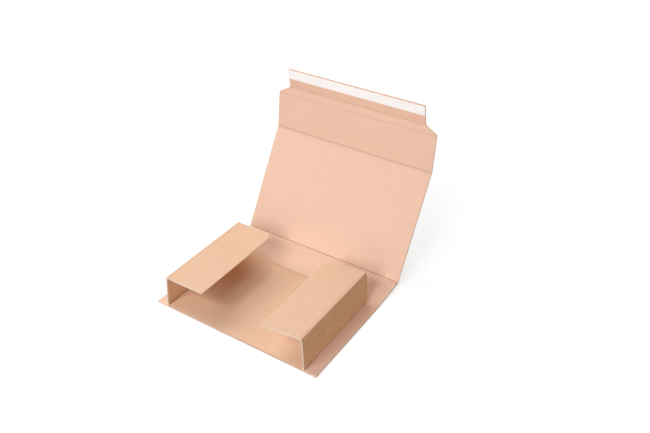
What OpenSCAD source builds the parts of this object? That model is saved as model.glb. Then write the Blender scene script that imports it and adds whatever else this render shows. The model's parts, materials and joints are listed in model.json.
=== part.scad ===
// Book wrap mailer of fluted board, opened out: a wide outer blank with a spine, a cover and a closure
// flap, and a narrower inner blank glued on its base. Origin: middle of the base's underside, +Z up,
// +Y towards the spine, +X to the right.

/* [Board] */
// Thickness of the fluted board
board_t = 3; // [2:0.25:4]
// Thickness of each paper liner
liner_t = 0.4; // [0.2:0.05:0.6]
// Thickness of the wavy paper between the liners
medium_t = 0.35; // [0.2:0.05:0.6]
// Length of one wave of the flutes
flute_pitch = 6.3; // [5:0.1:9]
// Width of board crushed flat beside a fold or a cut edge
crush_w = 2.3; // [2:0.1:4]
// Running clearance round a fold
fold_gap = 0.25; // [0.15:0.05:0.5]
// Width of the bevel pressed into a fold that closes past square
score_w = 1.4; // [1.2:0.1:3]

/* [Outer blank] */
// Width of the base's bare margin outside each side wall
edge_margin = 24.5; // [5:0.5:45]
// Depth of the base, front edge to spine fold
base_d = 212.5; // [200:0.5:260]
// Room between the closed closure flap and the base's front edge
front_gap = 4.6; // [1:0.2:10]
// Room between the closed cover and the top flaps
cover_gap = 0.6; // [0.4:0.1:3]
// Depth of the tapered part between the shoulders and the neck
shoulder_l = 14.4; // [8:0.2:30]
// Width of each shoulder, from the outer blank's side to the seal tab's
shoulder_w = 25.5; // [5:0.5:45]
// Length of the seal tab, neck to end
tab_l = 42.4; // [35:0.2:60]
// Room between the folded-under flap and the base
under_gap = 0.7; // [0.5:0.1:2]

/* [Inner blank] */
// Inside width between the side walls' feet
inside_w = 298; // [260:1:340]
// Distance of the inner blank behind the base's front edge
inner_setback = 0.5; // [0:0.1:2]
// Room between the inner blank and the closed spine
rear_gap = 0.5; // [0.3:0.1:3]
// Height of the side walls, floor fold to top fold
wall_h = 65.2; // [50:0.2:90]
// Length of each top flap
top_flap_l = 83.2; // [60:0.2:110]
// Size of the cut across a top flap's rear corner
flap_corner = 12; // [5:0.5:25]
// Length of the cut at a side wall's rear foot
foot_cut_l = 4; // [2:0.5:25]
// Height of that cut
foot_cut_h = 12; // [2:0.5:15]

/* [Seal] */
// Width of the adhesive strip
strip_w = 16; // [10:0.5:20]
// Thickness of the adhesive strip
strip_t = 0.13; // [0.1:0.01:0.3]
// Width of the release liner
film_w = 20; // [16:0.5:24]
// Thickness of the release liner
film_t = 0.12; // [0.1:0.01:0.3]
// Bare board between the liner and the tab's end
film_margin = 2; // [1:0.2:6]

/* [Rest pose] */
// Rise of the spine above the table
spine_angle = 5.6; // [1:0.2:20]
// Rise of the cover above the table
cover_angle = 59.6; // [45:0.2:85]
// Rise of the closure flap above the table
closure_angle = 83.5; // [70:0.5:95]
// Rise of the seal tab above the table
tab_angle = 99.7; // [85:0.5:110]
// Inward lean of the left wall
left_lean_angle = 4.6; // [0:0.2:8]
// Inward lean of the right wall's lower strip
right_angle_low = 0; // [0:0.2:8]
// Inward lean of the right wall's middle strip
right_angle_mid = 3.4; // [0:0.2:12]
// Inward lean of the right wall's upper strip
right_angle_top = 10; // [0:0.2:16]
// Height of the right wall's lower strip
right_strip_low = 29; // [12:0.5:30]
// Height of the right wall's middle strip
right_strip_mid = 16; // [8:0.5:18]
// Rise of the left top flap towards its free edge
left_flap_angle = 1; // [-5:0.5:8]
// Drop of the right top flap towards its free edge
right_flap_angle = 6; // [0:0.5:12]

/* [Hidden] */
// Facets of a fold's round bead
bead_fn = 32;
// Half widths of a flute opening at the liner and near its trough, as shares of a wave
opening_share = 0.36;
trough_share = 0.17;
// Kraft paper, and the white of the liner film
kraft = [0.80, 0.62, 0.49];
kraft_light = [0.86, 0.70, 0.58];
film_white = [0.97, 0.97, 0.96];
gum = [0.92, 0.88, 0.74];
half_t = board_t / 2;
// Widths that follow the inside width
floor_w = inside_w + board_t;
outer_w = floor_w + board_t + 2 * edge_margin;
tab_w = outer_w - 2 * shoulder_w;
core_t = board_t - 2 * liner_t;
wave_h = (core_t - medium_t) / 2;
// First board past a fold on the panel that turns
fold_start = half_t + fold_gap;
// Levels of the two sheets' middle planes
outer_z = half_t;
inner_z = board_t + half_t;
front_y = -base_d / 2;
spine_y = base_d / 2;
inner_rear_y = spine_y - half_t - rear_gap;
inner_d = inner_rear_y - front_y - inner_setback;
// The closed cover clears the top flaps, and the closure flap reaches past the base's underside
flap_top_z = inner_z + wall_h + half_t;
spine_l = flap_top_z + cover_gap;
cover_l = base_d + half_t + front_gap;
closure_l = spine_l + board_t + under_gap;
// Folds of the outer blank, seen from the side as [y, z]
spine_fold = [spine_y, outer_z];
cover_fold = along(spine_fold, spine_l, spine_angle);
closure_fold = along(cover_fold, cover_l, cover_angle);
under_fold = along(closure_fold, closure_l, closure_angle);
neck_fold = along(under_fold, shoulder_l, closure_angle);
// Folds of the inner blank, seen from the front as [x, z]
// The left wall and its flap are drawn on the right hand and mirrored
left_foot = [-floor_w / 2, inner_z];
right_foot = [floor_w / 2, inner_z];
left_top = along(right_foot, wall_h, 90 + left_lean_angle);
right_angles = [right_angle_low, right_angle_mid, right_angle_top];
right_strip_l = [right_strip_low, right_strip_mid, wall_h - right_strip_low - right_strip_mid];
right_top = strip_end(3);
// Seat of the adhesive strip's middle along the tab
strip_u = tab_l - film_margin - film_w / 2;

// Point at a distance from another, in a direction given in degrees
function along(from, distance, angle) = from + distance * [cos(angle), sin(angle)];
// Upper end of the right wall's strip i, counted from the foot
function strip_end(i) =
    i == 0 ? right_foot : along(strip_end(i - 1), right_strip_l[i - 1], 90 + right_angles[i - 1]);
// Upper side of the wavy paper in a trough, at u from the trough's middle, for waves of a given length
function wave(u, pitch) = medium_t / 2 - wave_h * cos(360 * u / pitch);

// One opening between the wavy paper and a liner, seen end-on
module flute_opening(pitch) {
    wide = opening_share * pitch;
    narrow = trough_share * pitch;
    polygon([[-wide, core_t / 2], [-narrow, wave(narrow, pitch)], [0, wave(0, pitch)],
             [narrow, wave(narrow, pitch)], [wide, core_t / 2]]);
}

// Whole waves spread evenly over a stretch of board from u = first to u = last
module flutes(first, last) {
    count = max(1, round((last - first) / flute_pitch));
    pitch = (last - first) / count;
    for (i = [0:1:count - 1]) {
        translate([first + (i + 0.25) * pitch, 0]) flute_opening(pitch);
        translate([first + (i + 0.75) * pitch, 0]) mirror([0, 1]) flute_opening(pitch);
    }
}

// Lip of the outer liner that wraps round a fold on the panel that turns
module fold_lip() {
    difference() {
        translate([0, -half_t]) square([fold_start, half_t]);
        circle(r = fold_start, $fn = bead_fn);
    }
}

// Board seen end-on, from u = 0 to its far end. A turning panel starts past its fold, with a lip on the
// outer side and, if scored, a bevel on the inner side. A panel that carries the next one ends in a bead.
module board_section(length, turns = false, carries = false, scored = false) {
    first = turns ? fold_start : 0;
    difference() {
        union() {
            translate([first, -half_t]) square([length - first, board_t]);
            if (turns) fold_lip();
            if (carries) translate([length, 0]) circle(r = half_t, $fn = bead_fn);
        }
        flutes(first + crush_w, length - crush_w);
        if (scored) polygon([[0, 0], [first, 0], [first + score_w, half_t], [0, half_t]]);
    }
}

// Outer blank panel: its section in the YZ plane, set at a fold and raised, with its flutes along X
module outer_panel(fold, angle, width) {
    translate([0, fold[0], fold[1]])
        rotate([angle, 0, 0])
            rotate([90, 0, 90])
                translate([0, 0, -width / 2])
                    linear_extrude(height = width) children();
}

// Inner blank panel: its section in the XZ plane, set at a fold and turned, with its flutes along Y
module inner_panel(fold, turn) {
    translate([fold[0], inner_rear_y, fold[1]])
        rotate([0, -turn, 0])
            rotate([90, 0, 0])
                linear_extrude(height = inner_d) children();
}

// Left half of the inner blank, drawn as the right half and mirrored
module left_hand() {
    mirror([1, 0, 0]) children();
}

// Prism that takes the rear foot off a side wall
module foot_cutter() {
    reach = floor_w;
    translate([-reach / 2, inner_rear_y, inner_z - half_t])
        rotate([90, 0, 90])
            linear_extrude(height = reach)
                polygon([[-foot_cut_l, 0], [board_t, 0], [board_t, foot_cut_h], [0, foot_cut_h]]);
}

// Top flap from its fold to its free edge, with the rear corner cut off
module top_flap(fold, turn) {
    difference() {
        inner_panel(fold, turn)
            board_section(top_flap_l, turns = true, scored = true);
        translate([fold[0], inner_rear_y, fold[1]])
            rotate([0, -turn, 0])
                translate([top_flap_l, 0, 0])
                    rotate([0, 0, 45])
                        cube([flap_corner * sqrt(2), flap_corner * sqrt(2), 2 * board_t], center = true);
    }
}

// Flat film on the seal tab's inner face, at a height over the board
module tab_film(width, thickness, lift) {
    translate([0, neck_fold[0], neck_fold[1]])
        rotate([tab_angle, 0, 0])
            translate([-tab_w / 2, strip_u - width / 2, half_t + lift])
                cube([tab_w, width, thickness]);
}

module outer_base() {
    color(kraft_light)
        outer_panel([front_y, outer_z], 0, outer_w)
            board_section(base_d, carries = true);
}

module spine() {
    color(kraft_light)
        outer_panel(spine_fold, spine_angle, outer_w)
            board_section(spine_l, turns = true, carries = true);
}

module cover() {
    color(kraft_light)
        outer_panel(cover_fold, cover_angle, outer_w)
            board_section(cover_l, turns = true, carries = true);
}

module closure_flap() {
    color(kraft_light)
        outer_panel(closure_fold, closure_angle, outer_w)
            board_section(closure_l, turns = true, carries = true);
}

module under_flap() {
    color(kraft_light)
        intersection() {
            outer_panel(under_fold, closure_angle, outer_w)
                board_section(shoulder_l, turns = true, carries = true);
            translate([0, under_fold[0], under_fold[1]])
                rotate([closure_angle, 0, 0])
                    translate([0, 0, -board_t])
                        linear_extrude(height = 2 * board_t)
                            polygon([[-outer_w / 2, 0], [outer_w / 2, 0], [tab_w / 2, shoulder_l],
                                     [tab_w / 2, shoulder_l + board_t], [-tab_w / 2, shoulder_l + board_t],
                                     [-tab_w / 2, shoulder_l]]);
        }
}

module seal_tab() {
    color(kraft_light)
        outer_panel(neck_fold, tab_angle, tab_w)
            board_section(tab_l, turns = true);
}

module adhesive_strip() {
    color(gum)
        tab_film(strip_w, strip_t, 0);
}

module release_liner() {
    color(film_white)
        tab_film(film_w, film_t, strip_t);
}

module inner_floor() {
    color(kraft)
        inner_panel(left_foot, 0) {
            board_section(floor_w, carries = true);
            circle(r = half_t, $fn = bead_fn);
        }
}

module left_wall() {
    color(kraft)
        left_hand()
            difference() {
                inner_panel(right_foot, 90 + left_lean_angle)
                    board_section(wall_h, turns = true, carries = true);
                foot_cutter();
            }
}

module left_top_flap() {
    color(kraft_light)
        left_hand()
            top_flap(left_top, 180 - left_flap_angle);
}

module right_wall() {
    color(kraft)
        difference() {
            inner_panel([0, 0], 0)
                for (i = [0:2])
                    translate(strip_end(i))
                        rotate(90 + right_angles[i]) {
                            board_section(right_strip_l[i], turns = i == 0, carries = true);
                        }
            foot_cutter();
        }
}

module right_top_flap() {
    color(kraft_light)
        top_flap(right_top, 180 + right_flap_angle);
}

outer_base();
spine();
cover();
closure_flap();
under_flap();
seal_tab();
adhesive_strip();
release_liner();
inner_floor();
left_wall();
left_top_flap();
right_wall();
right_top_flap();
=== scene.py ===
import json
import math

import bmesh
import bpy
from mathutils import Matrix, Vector, noise
from mathutils.geometry import tessellate_polygon


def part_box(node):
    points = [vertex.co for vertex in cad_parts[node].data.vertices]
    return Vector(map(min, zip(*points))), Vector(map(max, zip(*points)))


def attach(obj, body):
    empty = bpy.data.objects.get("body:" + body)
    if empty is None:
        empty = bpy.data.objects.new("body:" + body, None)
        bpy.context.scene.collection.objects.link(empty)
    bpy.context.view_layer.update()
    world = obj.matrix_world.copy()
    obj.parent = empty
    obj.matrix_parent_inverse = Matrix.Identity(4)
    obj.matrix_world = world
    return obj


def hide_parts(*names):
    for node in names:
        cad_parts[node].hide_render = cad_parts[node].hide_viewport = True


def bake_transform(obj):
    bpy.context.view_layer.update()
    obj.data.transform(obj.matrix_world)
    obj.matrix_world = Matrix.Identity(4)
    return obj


# Looks of a book wrap mailer: two blanks of fluted kraft board, opened out on a white table.
# Metres, +Z up, +Y towards the spine. Each panel is built in the flat blank's own directions:
# u across the flutes, v along them, n towards the side that ends up inside.

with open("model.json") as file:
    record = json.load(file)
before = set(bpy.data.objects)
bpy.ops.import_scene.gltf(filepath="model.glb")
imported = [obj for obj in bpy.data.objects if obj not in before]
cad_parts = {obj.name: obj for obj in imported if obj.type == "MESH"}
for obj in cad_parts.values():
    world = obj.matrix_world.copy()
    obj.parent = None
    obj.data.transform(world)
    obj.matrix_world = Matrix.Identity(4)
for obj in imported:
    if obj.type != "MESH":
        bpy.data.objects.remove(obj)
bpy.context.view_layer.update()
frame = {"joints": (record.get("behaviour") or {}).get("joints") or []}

# Board
BOARD = 0.003
LINER = 0.0004
MEDIUM = 0.00035
FLUTE = 0.0063
CRUSH = 0.0023
WAVE_POINTS = 8
GLUE_LINE = 0.00012
TROUGH_STEPS = (-0.36, -0.25, -0.16, -0.08, 0.0, 0.08, 0.16, 0.25, 0.36)
# How far a liner sags between the flutes
SMOOTH_SAG = 0.00002
FLAP_SAG = 0.00002
WALL_SAG = 0.00020
# Folds: the deep score of a flap's or wall's fold, and the light one of a panel that folds once
FOLD_REACH = 0.002
FOLD_BEVEL = 0.0016
FOLD_DIP = 0.00045
CREASE_DIP = 0.0004
CREASE_WIDTH = 0.0013
LIGHT_DIP = 0.00010
LIGHT_CREASE_DIP = 0.00035
LIGHT_CREASE_WIDTH = 0.0010
CREASE_LAYER = 0.0010
CREASE_POINTS = 20
FOLD_STEPS = (0.0, 0.0005, 0.001, 0.0016)
END_STEPS = (0.0001, 0.0005, 0.0012, 0.002, 0.0024, 0.004)
# Free ends, cut with a knife that pinches the board
PINCH = 0.0006
PINCH_LENGTH = 0.0024
END_PINCH = (0.0005, 0.0014)
REAR_FLOOR_PINCH = (0.0019, 0.0055)
FRONT_FLOOR_PINCH = (0.0002, 0.0008)
# Share of an open flute's height that the knife leaves at the cut, and how far in it is squeezed
FLUTE_LEFT = 0.3
SQUEEZE_LENGTH = 0.0018
# Most that a cut end wanders
RAGGED_OUTER = 0.0003
RAGGED_INNER = 0.0010
# Outlines
CORNER = 0.0112
CORNER_ROUND = 0.0016
TIP_ROUND = 0.0022
TAB_ROUND = 0.0035
FOOT_CUT_LENGTH = 0.004
FOOT_CUT_HEIGHT = 0.012
# Where the left wall starts in the paper's pattern, away from the right wall's place
LEFT_FLAT_START = 1.0
# Panels that end free, with their directions in degrees
TAB_LENGTH = 0.0424
TAB_RISE = 99.7
FLAP_LENGTH = 0.0832
LEFT_FLAP_TURN = 179.0
RIGHT_FLAP_TURN = 186.0
RIGHT_WALL_FOOT_LEAN = 0.0
RIGHT_WALL_TOP_LEAN = 10.0
# Seal
FILM_WIDTH = 0.020
FILM_THICKNESS = 0.00012
FILM_MARGIN = 0.002
GUM_WIDTH = 0.016
GUM_THICKNESS = 0.00013
FILM_RIPPLE = 0.00004
FILM_STEPS = 12
FILM_STATIONS = 40
# How much thicker a section's middle is drawn while its cap is cut into triangles
CAP_SWELL = 12.0
# Distances from a cut edge at which wear is drawn
EDGE_STEPS = (0.0, 0.0003, 0.0008, 0.0016, 0.003, 0.006)
MIDDLE_STEPS = 14
WEAR_LENGTH = 0.0007
# How far the painted shade of a fold reaches onto its panels
CREASE_MARK_LENGTH = 0.0016
# Darkness of the painted shade along each fold's line; for a light fold it also scales the groove's depth
CREASE_MARKS = {"spine": 0.06, "cover": 1.0, "closure_flap": 0.5, "under_flap": 0.03, "seal_tab": 0.35,
                "wall": 0.85, "flap": 0.12}
# Papers: main, pale and dark tone
OUTER_PAPER = ((0.80, 0.535, 0.405, 1), (0.84, 0.575, 0.45, 1), (0.77, 0.505, 0.38, 1))
INNER_PAPER = ((0.77, 0.505, 0.345, 1), (0.81, 0.55, 0.39, 1), (0.735, 0.47, 0.315, 1))
# Cut edges and open flutes: pale and dark tone
OUTER_CUT = ((0.74, 0.54, 0.42, 1), (0.58, 0.38, 0.26, 1))
INNER_CUT = ((0.96, 0.89, 0.83, 1), (0.68, 0.49, 0.37, 1))
FLUTE_HOLLOW = ((0.86, 0.64, 0.50, 1), (0.62, 0.40, 0.27, 1))
FLECK_COLOUR = (0.36, 0.20, 0.12, 1)
# Painted shade along the folds
CREASE_SHADE_COLOUR = (0.37, 0.17, 0.08, 1)
# Painted shade of the flute washboard, over each flute tip
WASHBOARD_SHADE_COLOUR = (0.50, 0.29, 0.17, 1)
WORN_COLOUR = (0.94, 0.76, 0.62, 1)
# Studio: place, diameter, watts and colour of each soft lamp
LAMP_AIM = (0.0, 0.03, 0.08)
LAMPS = {
    "front_key": ((0.33, -1.86, 1.13), 0.6, 15.2, (0.98, 1.0, 1.02)),
    "front_high": ((0.21, -1.49, 1.61), 0.6, 8.5, (0.98, 1.0, 1.02)),
    "front_left_high": ((-0.39, -1.45, 1.61), 0.6, 14.1, (0.98, 1.0, 1.02)),
    "front_low": ((0.0, -2.18, 0.31), 0.8, 7.2, (0.98, 1.0, 1.1)),
    "left_box": ((-1.69, 0.0, 1.41), 1.3, 15.7, (0.97, 1.0, 1.01)),
    "back_left_box": ((-1.0, 1.0, 1.69), 1.3, 17.3, (1.0, 1.0, 0.95)),
    "right_low": ((2.14, -0.19, 0.46), 1.0, 13.8, (1.0, 0.8, 0.6)),
}
SKY_STRENGTH = 0.02
SKY_COLOUR = (1.0, 0.70, 0.50, 1)
# White table: its glow for the camera rises to white between the two distances of the fade
TABLE_REACH = 12.0
TABLE_GAP = 0.0002
TABLE_GLOW = 0.76
TABLE_GLOW_RISE = 0.24
TABLE_FADE = (0.35, 1.1)
# Kinds of face, in the order of a blank's materials
INNER_FACE, OUTER_FACE, CUT_FACE, HOLLOW_FACE, SLIT_FACE = range(5)


def add_camera():
    """The photograph's view: about 1.4 m away, above and to the right of the front."""
    lens = bpy.data.cameras.new("camera")
    lens.lens = 42.25
    lens.sensor_width = 36.0
    camera = bpy.data.objects.new("camera", lens)
    bpy.context.scene.collection.objects.link(camera)
    camera.rotation_mode = "YXZ"
    camera.location = (0.67045, -0.84978, 0.93315)
    camera.rotation_euler = (0.9721, -0.0059, 0.5782)
    bpy.context.scene.camera = camera


def node(tree, kind, inputs=None, **settings):
    """Adds a shader node. An input is linked when it is given a socket, and set otherwise."""
    made = tree.nodes.new(kind)
    for key, value in settings.items():
        setattr(made, key, value)
    for key, value in (inputs or {}).items():
        if isinstance(value, bpy.types.NodeSocket):
            tree.links.new(value, made.inputs[key])
        else:
            made.inputs[key].default_value = value
    return made


def math_node(tree, operation, *values, clamp=False):
    made = node(tree, "ShaderNodeMath", dict(enumerate(values)), operation=operation, use_clamp=clamp)
    return made.outputs[0]


def mix_colour(tree, factor, low, high):
    made = tree.nodes.new("ShaderNodeMix")
    made.data_type = "RGBA"
    for socket, value in ((made.inputs[0], factor), (made.inputs[6], low), (made.inputs[7], high)):
        if isinstance(value, bpy.types.NodeSocket):
            tree.links.new(value, socket)
        else:
            socket.default_value = value
    return made.outputs[2]


def new_group(name, inputs, outputs):
    """A shader node group with inputs {name: (kind, value)} and outputs {name: kind}."""
    tree = bpy.data.node_groups.new(name, "ShaderNodeTree")
    for label, (kind, value) in inputs.items():
        socket = tree.interface.new_socket(name=label, in_out="INPUT", socket_type=kind)
        if value is not None:
            socket.default_value = value
    for label, kind in outputs.items():
        tree.interface.new_socket(name=label, in_out="OUTPUT", socket_type=kind)
    return tree, tree.nodes.new("NodeGroupInput").outputs, tree.nodes.new("NodeGroupOutput")


def stretched(tree, vector, scale):
    return node(tree, "ShaderNodeVectorMath", {0: vector, 1: scale}, operation="MULTIPLY").outputs[0]


def noise_value(tree, vector, scale, detail=2.0, rough=0.5):
    made = node(tree, "ShaderNodeTexNoise", {"Vector": vector, "Scale": scale, "Detail": detail,
                                             "Roughness": rough})
    return made.outputs["Fac"]


def ramp_between(tree, value, low, high):
    made = node(tree, "ShaderNodeMapRange", {"Value": value, "From Min": low, "From Max": high},
                interpolation_type="SMOOTHSTEP")
    return made.outputs["Result"]


def paper_fibres_group():
    """Kraft paper in flat coordinates: long fibres, cloudy formation and small bark flecks."""
    tree, given, result = new_group(
        "paper_fibres",
        {"Flat Place": ("NodeSocketVector", None), "Seed": ("NodeSocketFloat", 0.0)},
        {"Fibres": "NodeSocketFloat", "Clouds": "NodeSocketFloat", "Flecks": "NodeSocketFloat"})
    shift = node(tree, "ShaderNodeCombineXYZ", {"Z": given["Seed"]}).outputs[0]
    place = node(tree, "ShaderNodeVectorMath", {0: given["Flat Place"], 1: shift}).outputs[0]
    long_fibres = noise_value(tree, stretched(tree, place, (420.0, 3600.0, 800.0)), 1.0, 3.0, 0.6)
    cross_fibres = noise_value(tree, stretched(tree, place, (2600.0, 700.0, 800.0)), 1.0, 2.0, 0.6)
    fibres = math_node(tree, "MULTIPLY_ADD", cross_fibres, 0.4, math_node(tree, "MULTIPLY", long_fibres, 0.6))
    broad = noise_value(tree, stretched(tree, place, (14.0, 20.0, 1.0)), 1.0, 2.0)
    close = noise_value(tree, stretched(tree, place, (95.0, 130.0, 60.0)), 1.0, 3.0, 0.62)
    clouds = math_node(tree, "MULTIPLY_ADD", close, 0.6, math_node(tree, "MULTIPLY", broad, 0.4))
    cells = node(tree, "ShaderNodeTexVoronoi", {"Vector": stretched(tree, place, (300.0, 560.0, 300.0)),
                                                "Scale": 1.0})
    chosen = node(tree, "ShaderNodeSeparateColor", {0: cells.outputs["Color"]}).outputs[0]
    rare = ramp_between(tree, chosen, 0.80, 0.97)
    small = ramp_between(tree, cells.outputs["Distance"], 0.30, 0.10)
    flecks = math_node(tree, "MULTIPLY", rare, small)
    tree.links.new(fibres, result.inputs["Fibres"])
    tree.links.new(clouds, result.inputs["Clouds"])
    tree.links.new(flecks, result.inputs["Flecks"])
    return tree


def edge_wear_group():
    """Where a cut or folded edge shows the paper's pale inside, broken up as real wear is."""
    tree, given, result = new_group(
        "edge_wear",
        {"Flat Place": ("NodeSocketVector", None), "Nearness": ("NodeSocketFloat", 0.0),
         "Amount": ("NodeSocketFloat", 1.0)},
        {"Wear": "NodeSocketFloat"})
    torn = noise_value(tree, given["Flat Place"], 900.0, 4.0, 0.7)
    lifted = math_node(tree, "MULTIPLY_ADD", torn, 1.4, -0.35)
    wear = math_node(tree, "MULTIPLY", given["Nearness"], lifted, clamp=True)
    wear = math_node(tree, "MULTIPLY", wear, given["Amount"], clamp=True)
    tree.links.new(wear, result.inputs["Wear"])
    return tree


def new_material(name):
    material = bpy.data.materials.new(name)
    material.use_nodes = True
    shader = material.node_tree.nodes["Principled BSDF"]
    return material, material.node_tree, shader


def board_marks(tree):
    """Flat place, and the wear, the painted fold shade and the painted flute washboard shade that each piece
    of board carries.
    """
    place = node(tree, "ShaderNodeAttribute", attribute_name="flat_place").outputs["Vector"]
    marks = node(tree, "ShaderNodeAttribute", attribute_name="marks").outputs["Vector"]
    parts = node(tree, "ShaderNodeSeparateXYZ", {0: marks}).outputs
    return place, parts[0], parts[1], parts[2]


def liner_material(name, groups, colour, pale, dark, seed):
    """The smooth paper on both sides of the board."""
    material, tree, shader = new_material(name)
    place, near_cut, fold_shade, ridge = board_marks(tree)
    paper = node(tree, "ShaderNodeGroup", {}, node_tree=groups["paper_fibres"])
    tree.links.new(place, paper.inputs["Flat Place"])
    paper.inputs["Seed"].default_value = seed
    worn = node(tree, "ShaderNodeGroup", {}, node_tree=groups["edge_wear"])
    tree.links.new(place, worn.inputs["Flat Place"])
    tree.links.new(near_cut, worn.inputs["Nearness"])
    worn.inputs["Amount"].default_value = 0.40
    shade = mix_colour(tree, ramp_between(tree, paper.outputs["Clouds"], 0.34, 0.66), dark, colour)
    shade = mix_colour(tree, ramp_between(tree, paper.outputs["Fibres"], 0.40, 0.70), shade, pale)
    speck = math_node(tree, "MULTIPLY", paper.outputs["Flecks"], 0.45)
    shade = mix_colour(tree, speck, shade, FLECK_COLOUR)
    # Painted shade: the liner darkens towards each fold's line
    pressed = math_node(tree, "MULTIPLY", fold_shade, 0.80)
    shade = mix_colour(tree, pressed, shade, CREASE_SHADE_COLOUR)
    # Painted shade of the flute washboard: darker lines over the flute tips, broken up along them
    drawn_out = noise_value(tree, stretched(tree, place, (420.0, 26.0, 26.0)), 1.0, 3.0)
    broken = ramp_between(tree, drawn_out, 0.30, 0.62)
    washboard_shade = math_node(tree, "MULTIPLY", math_node(tree, "MULTIPLY", ridge, broken), 0.62)
    shade = mix_colour(tree, washboard_shade, shade, WASHBOARD_SHADE_COLOUR)
    shade = mix_colour(tree, worn.outputs["Wear"], shade, WORN_COLOUR)
    tree.links.new(shade, shader.inputs["Base Color"])
    rough = math_node(tree, "MULTIPLY_ADD", paper.outputs["Fibres"], 0.2, 0.74)
    tree.links.new(rough, shader.inputs["Roughness"])
    shader.inputs["Specular IOR Level"].default_value = 0.25
    relief = math_node(tree, "MULTIPLY_ADD", paper.outputs["Clouds"], 0.8, paper.outputs["Fibres"])
    bump = node(tree, "ShaderNodeBump", {"Height": relief, "Strength": 0.35, "Distance": 0.0002})
    tree.links.new(bump.outputs[0], shader.inputs["Normal"])
    return material


def cut_material(name, colour, dark):
    """The cut through liners and medium: pale, loose fibres with a torn grain."""
    material, tree, shader = new_material(name)
    place = node(tree, "ShaderNodeAttribute", attribute_name="flat_place").outputs["Vector"]
    torn = noise_value(tree, place, 620.0, 5.0, 0.75)
    layers = noise_value(tree, stretched(tree, place, (500.0, 500.0, 6000.0)), 1.0, 2.0)
    grain = math_node(tree, "MULTIPLY_ADD", torn, 0.6, math_node(tree, "MULTIPLY", layers, 0.4))
    shade = mix_colour(tree, ramp_between(tree, grain, 0.36, 0.62), dark, colour)
    tree.links.new(shade, shader.inputs["Base Color"])
    shader.inputs["Roughness"].default_value = 0.95
    shader.inputs["Specular IOR Level"].default_value = 0.2
    bump = node(tree, "ShaderNodeBump", {"Height": grain, "Strength": 0.8, "Distance": 0.0003})
    tree.links.new(bump.outputs[0], shader.inputs["Normal"])
    return material


def release_paper_material():
    """White siliconed paper over the adhesive: smooth, a little glossy, faintly mottled."""
    material, tree, shader = new_material("white_release_paper")
    place = node(tree, "ShaderNodeAttribute", attribute_name="flat_place").outputs["Vector"]
    mottle = noise_value(tree, place, 260.0, 3.0)
    shade = mix_colour(tree, mottle, (0.945, 0.965, 0.985, 1), (0.97, 0.985, 1.0, 1))
    tree.links.new(shade, shader.inputs["Base Color"])
    rough = math_node(tree, "MULTIPLY_ADD", mottle, 0.2, 0.35)
    tree.links.new(rough, shader.inputs["Roughness"])
    bump = node(tree, "ShaderNodeBump", {"Height": mottle, "Strength": 0.2, "Distance": 0.0002})
    tree.links.new(bump.outputs[0], shader.inputs["Normal"])
    return material


def gum_material():
    """The stringy adhesive under the release paper."""
    material, tree, shader = new_material("clear_gum")
    place = node(tree, "ShaderNodeAttribute", attribute_name="flat_place").outputs["Vector"]
    strings = noise_value(tree, stretched(tree, place, (3000.0, 200.0, 200.0)), 1.0, 3.0)
    shade = mix_colour(tree, strings, (0.74, 0.62, 0.44, 1), (0.88, 0.80, 0.66, 1))
    tree.links.new(shade, shader.inputs["Base Color"])
    shader.inputs["Roughness"].default_value = 0.22
    bump = node(tree, "ShaderNodeBump", {"Height": strings, "Strength": 0.5, "Distance": 0.0002})
    tree.links.new(bump.outputs[0], shader.inputs["Normal"])
    return material


def board_materials(blank, groups, paper, seed, cut_tones):
    """Materials of one blank, in the order of the face kinds."""
    liner = liner_material(blank + "_liner", groups, *paper, seed)
    cut = cut_material(blank + "_cut_edge", *cut_tones)
    hollow = cut_material(blank + "_flute_hollow", *FLUTE_HOLLOW)
    slit = cut_material(blank + "_slit_edge", *OUTER_CUT)
    return [liner, liner, cut, hollow, slit]


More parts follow.
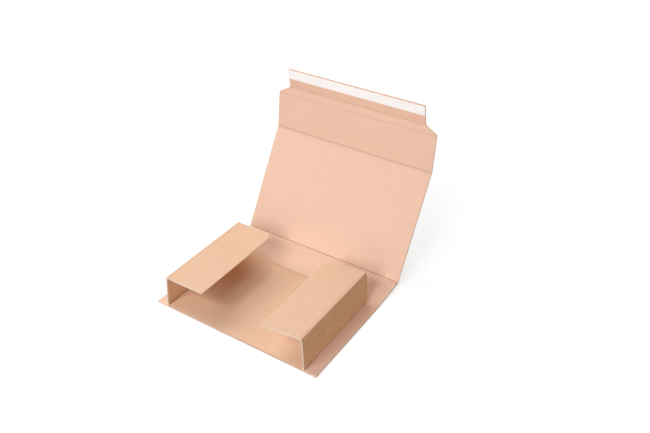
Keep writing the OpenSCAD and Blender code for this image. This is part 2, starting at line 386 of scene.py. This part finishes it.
class Panel:
    """One panel of a blank, from the fold it hangs on to its far end, flat or gently curved."""

    def __init__(self, start, end, along, flat_start, slopes=(0.0, 0.0), bow=0.0, sag=SMOOTH_SAG,
                 score=LIGHT_DIP, end_pinch=(END_PINCH, END_PINCH), ragged=RAGGED_OUTER):
        self.start = start
        self.length = (end - start).length
        self.across = (end - start).normalized()
        self.along = along
        self.inward = along.cross(self.across)
        self.flat_start = flat_start
        self.first_slope = math.tan(math.radians(slopes[0]))
        self.last_slope = math.tan(math.radians(slopes[1]))
        self.bow = bow
        self.sag = sag
        self.score = score
        self.end_pinch = end_pinch
        self.ragged = ragged

    def rise(self, share):
        """Height of the curved panel over its chord, and its slope there."""
        first = share - 2 * share ** 2 + share ** 3
        last = share ** 3 - share ** 2
        height = self.length * (first * self.first_slope + last * self.last_slope)
        slope = ((1 - 4 * share + 3 * share ** 2) * self.first_slope
                 + (3 * share ** 2 - 2 * share) * self.last_slope)
        return height, slope

    def warp(self, share, v):
        """Slow unevenness of real board, none at the folds."""
        place = Vector((share * 1.7, v * 7.0, self.flat_start * 31.0))
        return self.bow * math.sin(math.pi * share) * (0.6 + 0.8 * noise.noise(place))

    def cut_ends(self, u, edges):
        """The two cut ends of the flutes at u, as the knife left them."""
        low, high = edges(u)
        wander = [noise.noise(Vector(((self.flat_start + u) * 330, side, 0.7))) for side in (4.0, 9.0)]
        return low + self.ragged * (0.5 + 0.5 * wander[0]), high - self.ragged * (0.5 + 0.5 * wander[1])

    def pressed(self, n, gaps, lid=None):
        """Level of a point near the cut ends, where the board is thinner and its flutes are shut."""
        if lid is not None:
            squeeze = (1 - FLUTE_LEFT) * (1 - ease(min(gaps) / SQUEEZE_LENGTH))
            n = lid + (n - lid) * (1 - squeeze)
        drops = [depth * (1 - ease(gap / length)) for gap, (depth, length) in zip(gaps, self.end_pinch)]
        return (n + BOARD / 2) * (1 - max(drops) / BOARD) - BOARD / 2

    def directions(self, share):
        _, slope = self.rise(share)
        across = (self.across + slope * self.inward).normalized()
        return across, self.along.cross(across)

    def point(self, u, v, n):
        share = u / self.length
        height, _ = self.rise(share)
        _, inward = self.directions(share)
        lift = height + self.warp(share, v)
        return self.start + self.across * u + self.inward * lift + inward * n + self.along * v


def steps_between(low, high):
    """Places along the flutes, closer together near each cut end where wear is drawn."""
    places = [low + step for step in EDGE_STEPS]
    first, last = places[-1], high - EDGE_STEPS[-1]
    places += [first + (last - first) * i / MIDDLE_STEPS for i in range(1, MIDDLE_STEPS)]
    return places + [high - step for step in reversed(EDGE_STEPS)]


def cap_triangles(loops):
    """Short triangles that close a section and leave its hollows open.

    The section is drawn as a thick lens while it is cut up, so no three corners lie on one line.
    """
    us = [u for u, _, _ in loops[0]]
    middle, half = (min(us) + max(us)) / 2, (max(us) - min(us)) / 2
    flat = bmesh.new()
    drawn, points = [], []
    for loop in loops:
        swell = [1000 * (1 + CAP_SWELL * (1 - ((u - middle) / half) ** 2)) for u, _, _ in loop]
        drawn.append([Vector((1000 * (u - middle), n * tall, 0)) for (u, n, _), tall in zip(loop, swell)])
        points += [flat.verts.new(place) for place in drawn[-1]]
    for a, b, c in tessellate_polygon(drawn):
        flat.faces.new((points[a], points[b], points[c]))
    flat.verts.index_update()
    shared = [edge for edge in flat.edges if len(edge.link_faces) == 2]
    bmesh.ops.beautify_fill(flat, faces=flat.faces[:], edges=shared, method="ANGLE")
    caps = [[point.index for point in face.verts] for face in flat.faces]
    flat.free()
    return caps


def build_mesh(name, loops, kinds, stations, place, mark, materials):
    """Sweeps a section with holes along the flutes and closes both ends.

    loops: lists of (u, n, lid), the outer one first, where lid is the liner that a flute's hollow is
    squeezed against. kinds: the face kind of each loop's side from a point to the next. place(u, n, lid,
    s) and mark(u, n, s) give a corner's position and its attributes.
    """
    vertices, flats, marks, faces, face_kinds = [], [], [], [], []
    flat_points = [point for loop in loops for point in loop]
    ring = len(flat_points)
    for s in stations:
        for u, n, lid in flat_points:
            vertices.append(place(u, n, lid, s))
            flat, mark_here = mark(u, n, s)
            flats.append(flat)
            marks.append(mark_here)
    offset = 0
    for loop, kind in zip(loops, kinds):
        size = len(loop)
        for i in range(size):
            a, b = offset + i, offset + (i + 1) % size
            for j in range(len(stations) - 1):
                low, high = j * ring, (j + 1) * ring
                faces.append((low + a, low + b, high + b, high + a))
                face_kinds.append(kind[i])
        offset += size
    last = (len(stations) - 1) * ring
    for a, b, c in cap_triangles(loops):
        faces += [(a, b, c), (last + c, last + b, last + a)]
        face_kinds += [CUT_FACE, CUT_FACE]
    mesh = bpy.data.meshes.new(name)
    mesh.from_pydata(vertices, [], faces)
    mesh.polygons.foreach_set("material_index", face_kinds)
    shape = bmesh.new()
    shape.from_mesh(mesh)
    bmesh.ops.recalc_face_normals(shape, faces=shape.faces)
    shape.to_mesh(mesh)
    shape.free()
    for label, values in (("flat_place", flats), ("marks", marks)):
        attribute = mesh.attributes.new(label, "FLOAT_VECTOR", "POINT")
        attribute.data.foreach_set("vector", [x for value in values for x in value])
    mesh.polygons.foreach_set("use_smooth", [True] * len(mesh.polygons))
    mesh.set_sharp_from_angle(angle=math.radians(38))
    for material in materials:
        mesh.materials.append(material)
    mesh.update()
    piece = bpy.data.objects.new(name, mesh)
    bpy.context.scene.collection.objects.link(piece)
    return piece


def ease(x):
    x = min(1.0, max(0.0, x))
    return x * x * (3 - 2 * x)


def wave_span(panel, free_start):
    """First and last u of the open flutes, and the number of whole waves between them."""
    first = CRUSH + (0.0 if free_start else BOARD / 2)
    last = panel.length - CRUSH
    return first, last, max(1, round((last - first) / FLUTE))


def liner_drop(u, panel, free_start, free_end, inside):
    """How far a face lies below the full thickness: sagging over a flute, pinched, or creased."""
    first, last, count = wave_span(panel, free_start)
    drop = 0.0
    if first < u < last:
        phase = (u - first) / (last - first) * count - (0.25 if inside else 0.75)
        drop = panel.sag * (0.5 + 0.5 * math.cos(2 * math.pi * phase))
    for distance, free in ((u, free_start), (panel.length - u, free_end)):
        if free:
            drop = max(drop, PINCH * (1 - ease(distance / PINCH_LENGTH)))
        elif inside:
            drop = max(drop, panel.score * (1 - ease((distance - FOLD_REACH) / FOLD_BEVEL)))
    return drop


def flute_loops(first, last, count):
    """The hollows between the wavy paper and each liner."""
    pitch = (last - first) / count
    half_core = BOARD / 2 - LINER
    height = (2 * half_core - MEDIUM) / 2
    loops = []
    for i in range(2 * count):
        middle = first + (i + 0.5) * pitch / 2
        side = 1 if i % 2 == 0 else -1
        lid = half_core - GLUE_LINE
        levels = [min(lid, MEDIUM / 2 - height * math.cos(2 * math.pi * x)) for x in TROUGH_STEPS]
        levels[0] = levels[-1] = lid
        loops.append([(middle + x * pitch, side * y, side * lid) for x, y in zip(TROUGH_STEPS, levels)])
    return loops


def panel_piece(name, panel, edges, free_start, free_end, materials, body):
    """A fluted panel that stands for the node of the same name."""
    first, last, waves = wave_span(panel, free_start)
    begin = 0.0 if free_start else FOLD_REACH
    end = panel.length - (0.0 if free_end else FOLD_REACH)
    pitch = (last - first) / waves
    places = {round(first + pitch * i / WAVE_POINTS, 7) for i in range(waves * WAVE_POINTS + 1)}
    near_start = EDGE_STEPS if free_start else FOLD_STEPS
    near_end = EDGE_STEPS if free_end else FOLD_STEPS
    places |= {round(begin + step, 7) for step in near_start}
    places |= {round(end - step, 7) for step in near_end}
    if free_end:
        places |= {round(end - x, 7) for x in END_STEPS}
    us = sorted(u for u in places if begin - 1e-9 <= u <= end + 1e-9)
    half = BOARD / 2
    under = [(u, -half + liner_drop(u, panel, free_start, free_end, False), None) for u in us]
    over = [(u, half - liner_drop(u, panel, free_start, free_end, True), None) for u in reversed(us)]
    sides = ([OUTER_FACE] * (len(us) - 1) + [SLIT_FACE]) + ([INNER_FACE] * (len(us) - 1) + [SLIT_FACE])
    hollows = flute_loops(first, last, waves)
    loops = [under + over] + hollows
    kinds = [sides] + [[HOLLOW_FACE] * len(loop) for loop in hollows]
    low, high = edges(0.5 * panel.length)
    width = high - low
    stations = [(v - low) / width for v in steps_between(low, high)]

    def place(u, n, lid, s):
        low_here, high_here = panel.cut_ends(u, edges)
        v = low_here + (high_here - low_here) * s
        return panel.point(u, v, panel.pressed(n, (v - low_here, high_here - v), lid))

    def mark(u, n, s):
        low_here, high_here = panel.cut_ends(u, edges)
        v = low_here + (high_here - low_here) * s
        gaps = [v - low_here, high_here - v]
        gaps += [u] if free_start else []
        gaps += [panel.length - u] if free_end else []
        wear = math.exp(-min(gaps) / WEAR_LENGTH)
        # Painted shade near each fold, stronger for a deeply scored fold
        fold_gaps = ([] if free_start else [u]) + ([] if free_end else [panel.length - u])
        fold = math.exp(-(min(fold_gaps) - FOLD_REACH) / CREASE_MARK_LENGTH) if fold_gaps else 0.0
        inside = n > 0
        # Painted washboard shade over the flute tips, as strong as the liner's sag
        ridge = 0.0
        if first < u < last:
            phase = (u - first) / (last - first) * waves - (0.75 if inside else 0.25)
            ridge = (0.5 + 0.5 * math.cos(2 * math.pi * phase)) * panel.sag / WALL_SAG
        deep = panel.score / FOLD_DIP
        return (panel.flat_start + u, v, n), (wear, 0.4 * deep * fold, ridge)

    piece = build_mesh(name, loops, kinds, stations, place, mark, materials)
    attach(piece, body)
    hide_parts(name)
    return piece


def crease_pieces(name, panel_a, panel_b, edges, materials, body_a, body_b, darkness):
    """The crushed board at a fold, in two layers curved through the fold's angle."""
    deep = panel_a.score > LIGHT_DIP
    dip, width = (CREASE_DIP, CREASE_WIDTH) if deep else (LIGHT_CREASE_DIP * darkness, LIGHT_CREASE_WIDTH)
    fold = panel_b.start
    across, inward = panel_a.directions(1.0)
    onward, _ = panel_b.directions(0.0)
    angle = math.atan2(onward.dot(inward), onward.dot(across))
    flat_fold = panel_b.flat_start
    low, high = edges(0.0)
    stations = [(v - low) / (high - low) for v in steps_between(low, high)]

    def bent(q, n):
        turn = angle * ease((q + FOLD_REACH) / (2 * FOLD_REACH))
        x = q * math.cos(turn) - n * math.sin(turn)
        y = q * math.sin(turn) + n * math.cos(turn)
        return fold + across * x + inward * y

    def place(q, n, lid, s):
        low_here, high_here = panel_b.cut_ends(q, edges)
        v = low_here + (high_here - low_here) * s
        return bent(q, panel_b.pressed(n, (v - low_here, high_here - v))) + panel_a.along * v

    def mark(q, n, s):
        low_here, high_here = panel_b.cut_ends(q, edges)
        v = low_here + (high_here - low_here) * s
        wear = math.exp(-min(v - low_here, high_here - v) / WEAR_LENGTH)
        # The second mark is the painted shade along the fold's line
        return (flat_fold + q, v, n), (wear, darkness * math.exp(-(q / width) ** 2), 0.0)

    qs = [FOLD_REACH * (2 * i / CREASE_POINTS - 1) for i in range(CREASE_POINTS + 1)]
    half = BOARD / 2
    inside = [(q, half - panel_a.score - dip * math.exp(-(q / width) ** 2), None) for q in qs]
    middle = [(q, -half + CREASE_LAYER, None) for q in qs]
    layers = {"outside": ([(q, -half, None) for q in qs], middle[::-1]), "inside": (middle, inside[::-1])}
    for side, (under, over) in layers.items():
        face = OUTER_FACE if side == "outside" else INNER_FACE
        kinds = [[face] * (len(qs) - 1) + [CUT_FACE] + [face] * (len(qs) - 1) + [CUT_FACE]]
        piece = build_mesh(f"{name}_{side}", [under + over], kinds, stations, place, mark, materials)
        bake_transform(piece)


def strip_piece(name, panel, middle, width, level, thickness, half_width, material, body):
    """A thin film laid on a panel's inner face, with a faintly uneven edge."""
    us = [middle - width / 2 + width * i / FILM_STEPS for i in range(FILM_STEPS + 1)]
    under = [(u, level, None) for u in us]
    over = [(u, level + thickness, None) for u in reversed(us)]
    kinds = [[INNER_FACE] * (2 * len(us))]
    stations = [i / FILM_STATIONS for i in range(FILM_STATIONS + 1)]

    def v_at(s):
        return half_width * (2 * s - 1)

    def place(u, n, lid, s):
        v = v_at(s)
        ripple = FILM_RIPPLE * (1 + noise.noise(Vector((u * 90, v * 60, 3.0))))
        return panel.point(u, v, n + (ripple if n > level else 0.0))

    def mark(u, n, s):
        return (panel.flat_start + u, v_at(s), n), (0.0, 0.0, 0.0)

    piece = build_mesh(name, [under + over], kinds, stations, place, mark, [material] * 3)
    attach(piece, body)
    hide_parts(name)


def corner_cut(x):
    """How far a flap's cut corner draws its rear edge in, at x from the free edge."""
    slant = CORNER - x
    chamfer = 0.5 * (slant + math.hypot(slant, CORNER_ROUND))
    return chamfer + round_off(x, TIP_ROUND)


def round_off(x, radius):
    """How far a rounded corner draws an edge in, at x from the end."""
    tip = max(0.0, 1 - x / radius)
    return radius * (1 - math.sqrt(1 - tip * tip))


def direction(degrees):
    """Unit step in a section plane: (sideways, up)."""
    return math.cos(math.radians(degrees)), math.sin(math.radians(degrees))


def build_mailer(groups):
    folds = {joint["name"]: Vector(joint["pos_m"]) for joint in frame["joints"]}
    outer = board_materials("outer_blank", groups, OUTER_PAPER, 0.0, OUTER_CUT)
    inner = board_materials("inner_blank", groups, INNER_PAPER, 2.0, INNER_CUT)
    build_outer_blank(folds, outer)
    build_inner_blank(folds, inner, outer[CUT_FACE])


def build_outer_blank(folds, materials):
    """Base, spine, cover, closure flap, under flap and seal tab, with the seal on the tab."""
    right = Vector((1, 0, 0))
    half_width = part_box("outer_base")[1].x
    tab_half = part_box("seal_tab")[1].x
    front = Vector((0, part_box("outer_base")[0].y, BOARD / 2))
    names = ["spine", "cover", "closure_flap", "under_flap", "seal_tab"]
    joints = ["spine_fold", "cover_fold", "closure_fold", "under_fold", "tab_fold"]
    starts = [front] + [Vector((0, folds[j].y, folds[j].z)) for j in joints]
    out, up = direction(TAB_RISE)
    ends = starts[1:] + [starts[-1] + TAB_LENGTH * Vector((0, out, up))]
    bows = {"outer_base": 0.0, "spine": 0.0002, "cover": 0.0006, "closure_flap": 0.0004,
            "under_flap": 0.0, "seal_tab": 0.0002}
    panels, flat = {}, 0.0
    for name, start, end in zip(["outer_base"] + names, starts, ends):
        panels[name] = Panel(start, end, right, flat, bow=bows[name])
        flat += panels[name].length
    shoulder_run = panels["under_flap"].length

    def full(u):
        return -half_width, half_width

    def tapered(u):
        share = min(1.0, max(0.0, u / shoulder_run))
        half = half_width - (half_width - tab_half) * share
        return -half, half

    def neck(u):
        return tapered(shoulder_run + u)

    def tab(u):
        half = tab_half - round_off(TAB_LENGTH - u, TAB_ROUND)
        return -half, half

    shapes = {"under_flap": tapered, "seal_tab": tab}
    bodies = {"outer_base": "base"}
    for name, panel in panels.items():
        panel_piece(name, panel, shapes.get(name, full), name == "outer_base", name == "seal_tab",
                    materials, bodies.get(name, name))
    crease_shapes = {"under_flap": tapered, "seal_tab": neck}
    order = list(panels)
    for before, after in zip(order, order[1:]):
        crease_pieces(after + "_crease", panels[before], panels[after], crease_shapes.get(after, full),
                      materials, bodies.get(before, before), after, CREASE_MARKS[after])
    seal = panels["seal_tab"]
    middle = TAB_LENGTH - FILM_MARGIN - FILM_WIDTH / 2
    strip_piece("adhesive_strip", seal, middle, GUM_WIDTH, BOARD / 2, GUM_THICKNESS, tab_half,
                gum_material(), "seal_tab")
    strip_piece("release_liner", seal, middle, FILM_WIDTH, BOARD / 2 + GUM_THICKNESS, FILM_THICKNESS,
                tab_half, release_paper_material(), "seal_tab")


def build_inner_blank(folds, materials, floor_cut):
    """Floor, side walls and top flaps."""
    low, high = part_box("inner_floor")
    places = {name: Vector((p.x, 0, p.z)) for name, p in folds.items()}
    back = Vector((0, 1, 0))
    floor = Panel(places["left_wall_fold"], places["right_wall_fold"], -back, 0.0, sag=FLAP_SAG,
                  score=FOLD_DIP, end_pinch=(REAR_FLOOR_PINCH, FRONT_FLOOR_PINCH), ragged=RAGGED_OUTER)
    chord = places["right_top_fold"] - places["right_wall_fold"]
    lean = math.degrees(math.atan2(-chord.x, chord.z))
    right_wall = Panel(places["right_wall_fold"], places["right_top_fold"], -back, floor.length,
                       (RIGHT_WALL_FOOT_LEAN - lean, RIGHT_WALL_TOP_LEAN - lean), 0.0002, WALL_SAG,
                       FOLD_DIP, ragged=RAGGED_INNER)
    left_wall = Panel(places["left_wall_fold"], places["left_top_fold"], back, LEFT_FLAT_START, bow=0.0004,
                      sag=WALL_SAG, score=FOLD_DIP, ragged=RAGGED_INNER)
    out, up = direction(LEFT_FLAP_TURN)
    left_end = places["left_top_fold"] + FLAP_LENGTH * Vector((-out, 0, up))
    left_flap = Panel(places["left_top_fold"], left_end, back, LEFT_FLAT_START + left_wall.length, bow=0.0004,
                      sag=FLAP_SAG, score=FOLD_DIP, ragged=RAGGED_INNER)
    out, up = direction(RIGHT_FLAP_TURN)
    right_end = places["right_top_fold"] + FLAP_LENGTH * Vector((out, 0, up))
    right_flap = Panel(places["right_top_fold"], right_end, -back,
                       floor.length + right_wall.length, bow=0.0004, sag=FLAP_SAG,
                       score=FOLD_DIP, ragged=RAGGED_INNER)

    def rear_on(side, cut):
        """Edges of a panel whose rear end is drawn in by cut(u): side 1 has its rear at the high v."""
        if side > 0:
            return lambda u: (low.y, high.y - cut(u))
        return lambda u: (-high.y + cut(u), -low.y)

    def none(u):
        return 0.0

    def foot(u):
        return FOOT_CUT_LENGTH * max(0.0, 1 - max(0.0, u) / FOOT_CUT_HEIGHT) * ease(u / FOLD_REACH + 1)

    def corner(u):
        return corner_cut(FLAP_LENGTH - u)

    floor_materials = list(materials)
    floor_materials[CUT_FACE] = floor_cut
    panel_piece("inner_floor", floor, rear_on(-1, none), False, False, floor_materials, "base")
    for side, name, wall, flap in ((1, "left", left_wall, left_flap), (-1, "right", right_wall, right_flap)):
        wall_body, flap_body = name + "_wall", name + "_top_flap"
        panel_piece(wall_body, wall, rear_on(side, foot), False, False, materials, wall_body)
        panel_piece(flap_body, flap, rear_on(side, corner), False, True, materials, flap_body)
        floor_half = floor
        if name == "left":
            floor_half = Panel(places["right_wall_fold"], places["left_wall_fold"], back, 0.0,
                               score=FOLD_DIP, ragged=RAGGED_INNER)
        crease_pieces(wall_body + "_crease", floor_half, wall, rear_on(side, foot), materials,
                      "base", wall_body, CREASE_MARKS["wall"])
        crease_pieces(flap_body + "_crease", wall, flap, rear_on(side, none), materials,
                      wall_body, flap_body, CREASE_MARKS["flap"])


def add_stage():
    """White table and surround, and the soft lamps around the mailer."""
    scene = bpy.context.scene
    scene.view_settings.view_transform = "Standard"
    mesh = bpy.data.meshes.new("table")
    reach = TABLE_REACH
    mesh.from_pydata([(-reach, -reach, 0), (reach, -reach, 0), (reach, reach, 0), (-reach, reach, 0)],
                     [], [(0, 1, 2, 3)])
    table = bpy.data.objects.new("table", mesh)
    scene.collection.objects.link(table)
    table.location.z = -TABLE_GAP
    material, tree, shader = new_material("white_table")
    path = node(tree, "ShaderNodeLightPath").outputs
    seen = math_node(tree, "MAXIMUM", path["Is Camera Ray"], path["Is Glossy Ray"])
    seen = math_node(tree, "MAXIMUM", seen, path["Is Transmission Ray"])
    plain = node(tree, "ShaderNodeBsdfDiffuse", {"Color": (0.34, 0.26, 0.18, 1)}).outputs[0]
    shown = node(tree, "ShaderNodeBsdfDiffuse", {"Color": (0.34, 0.34, 0.34, 1)}).outputs[0]
    spot = node(tree, "ShaderNodeTexCoord").outputs["Object"]
    distance = node(tree, "ShaderNodeVectorMath", {0: spot}, operation="LENGTH").outputs["Value"]
    far = ramp_between(tree, distance, *TABLE_FADE)
    level = math_node(tree, "MULTIPLY_ADD", far, TABLE_GLOW_RISE, TABLE_GLOW)
    glow = node(tree, "ShaderNodeEmission", {"Color": (1, 1, 1, 1), "Strength": level}).outputs[0]
    shown = node(tree, "ShaderNodeAddShader", {0: shown, 1: glow}).outputs[0]
    both = node(tree, "ShaderNodeMixShader", {0: seen, 1: plain, 2: shown}).outputs[0]
    tree.nodes.remove(shader)
    tree.links.new(both, tree.nodes["Material Output"].inputs["Surface"])
    mesh.materials.append(material)

    world = bpy.data.worlds.new("studio")
    scene.world = world
    world.use_nodes = True
    tree = world.node_tree
    path = node(tree, "ShaderNodeLightPath").outputs
    seen = math_node(tree, "MAXIMUM", path["Is Camera Ray"], path["Is Glossy Ray"])
    seen = math_node(tree, "MAXIMUM", seen, path["Is Transmission Ray"])
    sky = node(tree, "ShaderNodeBackground", {"Color": SKY_COLOUR, "Strength": SKY_STRENGTH}).outputs[0]
    white = node(tree, "ShaderNodeBackground", {"Color": (1, 1, 1, 1), "Strength": 1.0}).outputs[0]
    both = node(tree, "ShaderNodeMixShader", {0: seen, 1: sky, 2: white}).outputs[0]
    tree.links.new(both, tree.nodes["World Output"].inputs["Surface"])

    for name, (place, size, watts, colour) in LAMPS.items():
        add_lamp(name, place, size, watts, colour)


def add_lamp(name, place, size, watts, colour):
    """A round soft lamp that faces the middle of the mailer."""
    light = bpy.data.lights.new(name, "AREA")
    light.shape = "DISK"
    light.size = size
    light.energy = watts
    light.color = colour
    lamp = bpy.data.objects.new(name, light)
    bpy.context.scene.collection.objects.link(lamp)
    lamp.location = place
    aim = Vector(LAMP_AIM) - lamp.location
    lamp.rotation_euler = aim.to_track_quat("-Z", "Y").to_euler()


add_camera()
add_stage()
build_mailer({"paper_fibres": paper_fibres_group(), "edge_wear": edge_wear_group()})
